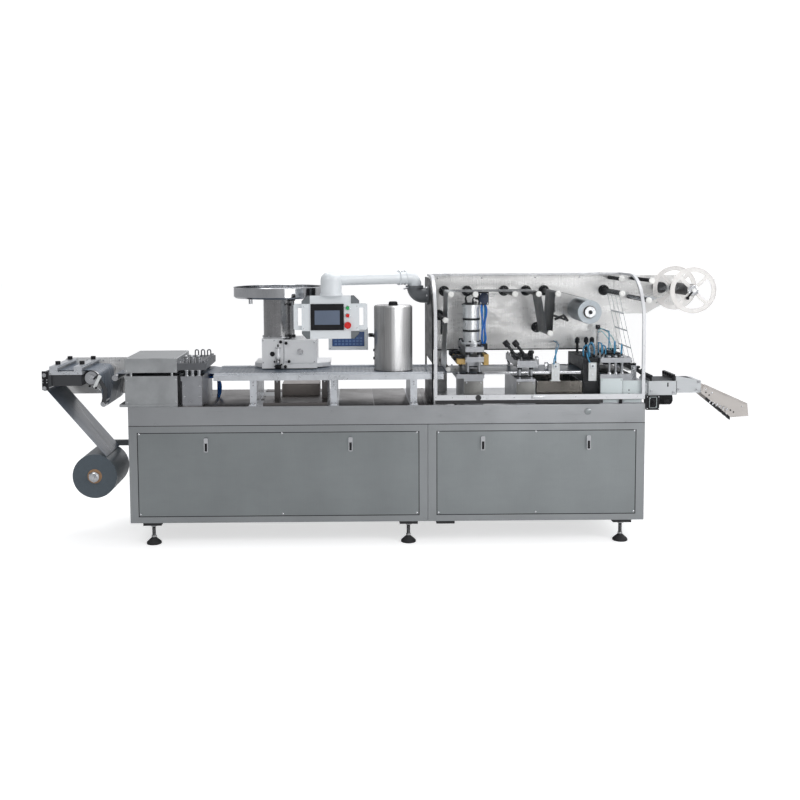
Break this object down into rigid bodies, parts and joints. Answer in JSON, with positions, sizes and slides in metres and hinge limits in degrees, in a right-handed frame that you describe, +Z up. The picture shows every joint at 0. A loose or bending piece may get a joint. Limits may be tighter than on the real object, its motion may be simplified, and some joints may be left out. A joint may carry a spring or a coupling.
{
  "type": "blister packing machine",
  "caption": "Thermoforming blister packer on two steel cabinets, with film roll, heater, feeder, seal and punch stations, lifting clear hood and discharge chute.",
  "frame": {"origin": "centre of the machine's footprint, on the floor", "axes": "+X along the film to the discharge end, +Y to the back, +Z up"},
  "size_m": [4.1777, 0.717, 1.622],
  "materials": {
    "brushed_panel": "fine vertical brushed finish",
    "machined_steel": "ground and milled",
    "polished_steel": "polished",
    "dark_steel": "dark grey",
    "white_paint": "white enamel",
    "light_grey_paint": "light grey powder coat",
    "black_plastic": "moulded",
    "white_plastic": "turned",
    "blue_plastic": "moulded",
    "green_plastic": "moulded",
    "red_plastic": "moulded",
    "screen_glass": "dark display",
    "clear_sheet": "clear acrylic",
    "film": "wound plastic film",
    "foil": "dull foil",
    "clear_film": "punched film",
    "card": "wound card",
    "belt_rubber": "smooth",
    "beige_sheet": "satin"
  },
  "bodies": {
    "machine": {"cabinet_left": "brushed_panel", "cabinet_right": "brushed_panel", "table_top": "brushed_panel", "service_panels": "brushed_panel", "latch_handles": "polished_steel", "levelling_feet": "black_plastic", "unwind_arm": "dark_steel", "infeed_side_plate": "machined_steel", "infeed_rollers": "polished_steel", "splice_table": "dark_steel", "infeed_plates": "machined_steel", "heater_lower": "machined_steel", "heater_upper": "machined_steel", "forming_base": "machined_steel", "forming_upper": "machined_steel", "guide_track": "machined_steel", "track_support": "machined_steel", "film_drive": "machined_steel", "forming_film": "film", "feeder_housing": "machined_steel", "feeder_drum": "machined_steel", "feeder_bowl": "polished_steel", "cylinder_cover": "polished_steel", "controller_box": "light_grey_paint", "arm_bracket": "dark_steel", "end_plate": "brushed_panel", "roller_panel": "brushed_panel", "web_rollers": "black_plastic", "roller_caps": "white_plastic", "lidding_foil": "foil", "waste_web": "clear_film", "seal_frame": "machined_steel", "seal_cylinder": "polished_steel", "indexing_station": "machined_steel", "scrap_bin": "polished_steel", "sensor_brackets": "white_paint", "punch_station": "machined_steel", "black_fittings": "black_plastic", "air_lines": "blue_plastic", "reel_bracket": "brushed_panel", "conveyor_frame": "machined_steel", "conveyor_belt": "belt_rubber", "conveyor_motor": "dark_steel", "discharge_chute": "beige_sheet"},
    "forming_reel": {"forming_film_roll": "film", "forming_roll_core": "card", "forming_roll_shaft": "polished_steel"},
    "swinging_arm": {"swing_arm": "light_grey_paint"},
    "operator_panel": {"screen_box": "light_grey_paint", "screen_bezel": "black_plastic", "touch_display": "screen_glass", "green_button": "green_plastic", "red_buttons": "red_plastic"},
    "lidding_reel": {"lidding_roll": "foil", "lidding_core": "card"},
    "sealing_ram": {"seal_platen": "machined_steel"},
    "hood": {"hood_frame": "polished_steel", "hood_window": "clear_sheet"},
    "waste_reel": {"scrap_reel": "white_paint"}
  },
  "joints": [
    {"name": "forming_roll_spin", "type": "hinge", "parent": "machine", "child": "forming_reel", "pos_m": [-1.804, 0, 0.405], "axis": [0, 1, 0], "continuous": true},
    {"name": "arm_swing", "type": "hinge", "parent": "machine", "child": "swinging_arm", "pos_m": [0.118, -0.05, 1.519], "axis": [0, 0, 1], "range_deg": [0, 45]},
    {"name": "panel_turn", "type": "hinge", "parent": "swinging_arm", "child": "operator_panel", "pos_m": [-0.376, -0.2675, 1.472], "axis": [0, 0, 1], "range_deg": [-30, 30]},
    {"name": "lidding_roll_spin", "type": "hinge", "parent": "machine", "child": "lidding_reel", "pos_m": [1.145, 0, 1.361], "axis": [0, 1, 0], "continuous": true},
    {"name": "seal_press", "type": "slide", "parent": "machine", "child": "sealing_ram", "axis": [0, 0, 1], "range_m": [-0.012, 0]},
    {"name": "hood_lift", "type": "hinge", "parent": "machine", "child": "hood", "pos_m": [0.327, 0.203, 1.579], "axis": [1, 0, 0], "range_deg": [-75, 0]},
    {"name": "waste_reel_spin", "type": "hinge", "parent": "machine", "child": "waste_reel", "pos_m": [1.742, 0, 1.487], "axis": [0, 1, 0], "continuous": true}
  ]
}
